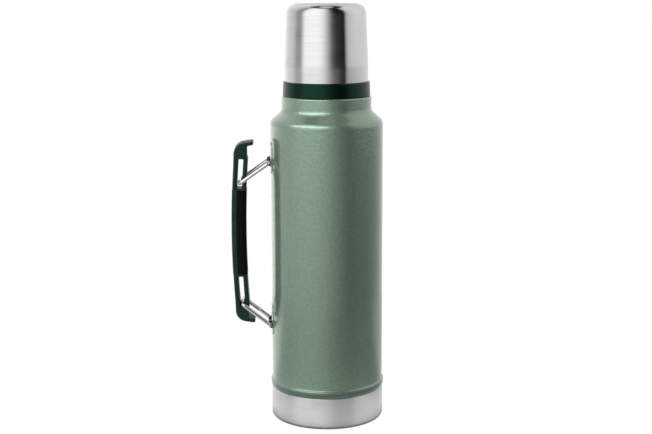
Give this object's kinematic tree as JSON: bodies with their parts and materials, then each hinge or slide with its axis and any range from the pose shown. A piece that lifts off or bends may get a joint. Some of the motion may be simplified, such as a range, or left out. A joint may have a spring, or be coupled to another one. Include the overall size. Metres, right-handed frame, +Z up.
{
  "type": "vacuum flask",
  "caption": "Tall steel vacuum flask with a screw-on cup over a threaded stopper, a brushed base band and a folding side handle on wire bails.",
  "frame": {"origin": "centre of the base's underside, on the bottle's axis", "axes": "+Z up along the bottle's axis, -X towards the handle"},
  "size_m": [0.1352, 0.1014, 0.3689],
  "materials": {
    "green_paint": "satin",
    "brushed_steel": "satin",
    "plain_steel": "satin",
    "bright_wire": "polished",
    "green_plastic": "satin",
    "dark_plastic": "satin",
    "black_rubber": "matte",
    "clear_silicone": "satin",
    "foam": "matte",
    "foil": "polished",
    "solder": "satin",
    "getter_metal": "matte"
  },
  "bodies": {
    "flask": {"outer_shell": "green_paint", "base_cap": "brushed_steel", "outer_base": "plain_steel", "evacuation_seal": "solder", "getter_clip": "plain_steel", "getter": "getter_metal", "inner_vessel": "plain_steel", "inner_base": "plain_steel", "radiation_foil": "foil", "neck_sleeve": "plain_steel", "upper_bracket": "green_paint", "lower_bracket": "green_paint"},
    "cup_seal": {"cup_gasket": "black_rubber"},
    "cup": {"cup_shell": "brushed_steel", "cup_liner": "dark_plastic", "cup_collar": "green_plastic"},
    "stopper_seal": {"stopper_gasket": "clear_silicone"},
    "stopper": {"stopper_body": "dark_plastic", "stopper_knob": "green_plastic", "stopper_foam": "foam", "stopper_base": "dark_plastic"},
    "upper_hanger": {"upper_bail": "bright_wire"},
    "lower_hanger": {"lower_bail": "bright_wire"},
    "handle": {"handle_frame": "green_plastic", "handle_grip": "black_rubber"}
  },
  "joints": [
    {"name": "cup_rise", "type": "slide", "parent": "flask", "child": "cup_seal", "axis": [0, 0, 1], "range_m": [0, 0.0085]},
    {"name": "cup_turn", "type": "hinge", "parent": "cup_seal", "child": "cup", "pos_m": [0, 0, 0.296], "axis": [0, 0, 1], "range_deg": [0, 510]},
    {"name": "stopper_rise", "type": "slide", "parent": "flask", "child": "stopper_seal", "axis": [0, 0, 1], "range_m": [0, 0.0145]},
    {"name": "stopper_turn", "type": "hinge", "parent": "stopper_seal", "child": "stopper", "pos_m": [0, 0, 0.29], "axis": [0, 0, 1], "range_deg": [0, 870]},
    {"name": "handle_fold", "type": "hinge", "parent": "flask", "child": "upper_hanger", "pos_m": [-0.0509, 0, 0.23213], "axis": [0, -1, 0], "range_deg": [0, 28]},
    {"name": "lower_fold", "type": "hinge", "parent": "flask", "child": "lower_hanger", "pos_m": [-0.0509, 0, 0.08568], "axis": [0, -1, 0], "range_deg": [-23.24, 0]},
    {"name": "handle_swing", "type": "hinge", "parent": "upper_hanger", "child": "handle", "pos_m": [-0.07656, 0, 0.2142], "axis": [0, -1, 0], "range_deg": [-28, 0]}
  ],
  "couplings": [
    {"joint": "cup_rise", "follows": "cup_turn", "m_per_rad": 0.00095493},
    {"joint": "stopper_rise", "follows": "stopper_turn", "m_per_rad": 0.00095493},
    {"joint": "lower_fold", "follows": "handle_fold", "ratio": -0.83},
    {"joint": "handle_swing", "follows": "handle_fold", "ratio": -1}
  ]
}
